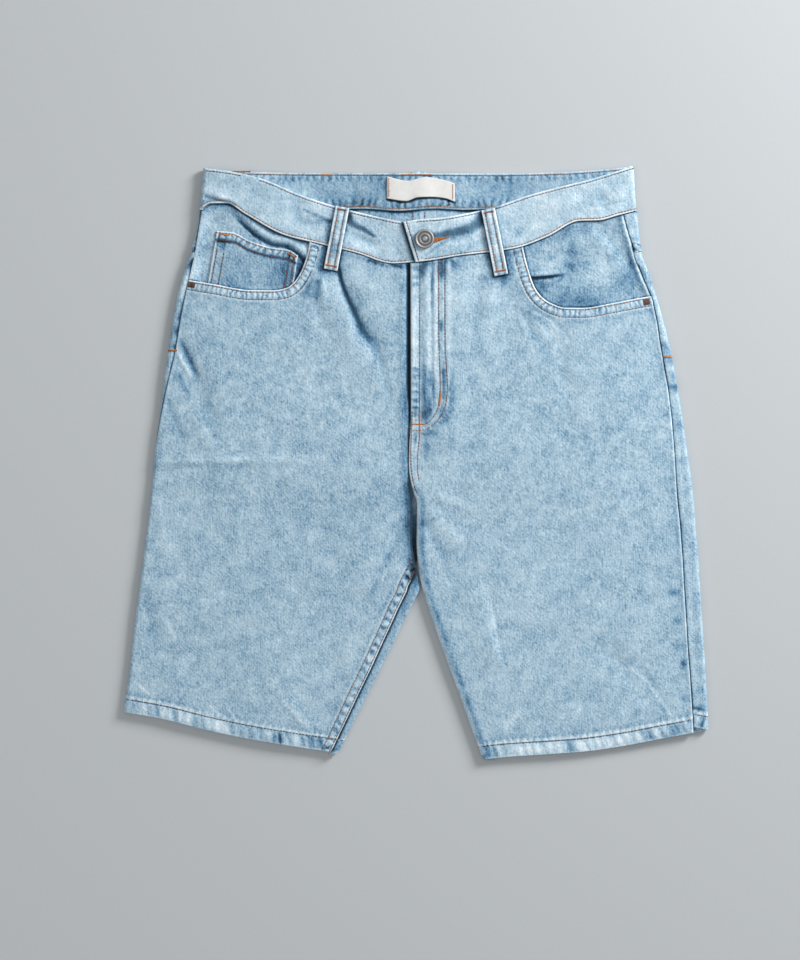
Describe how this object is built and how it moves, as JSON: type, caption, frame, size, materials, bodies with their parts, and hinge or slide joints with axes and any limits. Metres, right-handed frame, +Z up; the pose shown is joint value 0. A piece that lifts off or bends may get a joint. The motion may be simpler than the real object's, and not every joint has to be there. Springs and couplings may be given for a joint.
{
  "type": "denim shorts laid flat",
  "caption": "Light-wash denim shorts laid flat, front upward, with waistband, belt loops, front and coin pockets, button fly and turned-up hems.",
  "frame": {"origin": "centre of the bounding box's underside, on the surface that the shorts lie on", "axes": "+Z up off the surface, +Y from the hems to the waist, +X to the wearer's left"},
  "size_m": [0.5615, 0.5707, 0.0146],
  "materials": {
    "denim": "light-wash denim with pale threads and darker seams",
    "denim_deep": "darker, less worn denim in the pocket mouths",
    "denim_band": "light-wash denim, two layers sewn together",
    "label_cloth": "off-white woven tape, blank",
    "pewter": "aged pewter, plain rings"
  },
  "bodies": {
    "root": {"front_left": "denim", "front_right": "denim", "back_left": "denim", "back_right": "denim", "yoke_left": "denim", "yoke_right": "denim", "belt_loop_front_left": "denim", "belt_loop_front_right": "denim", "belt_loop_back_right": "denim", "belt_loop_back_centre": "denim", "belt_loop_back_left": "denim", "back_pocket_right": "denim", "back_pocket_left": "denim", "pocket_facing_left": "denim_deep", "pocket_facing_right": "denim_deep", "coin_pocket": "denim_deep", "waistband": "denim_band", "label": "label_cloth", "button": "pewter"}
  },
  "joints": []
}
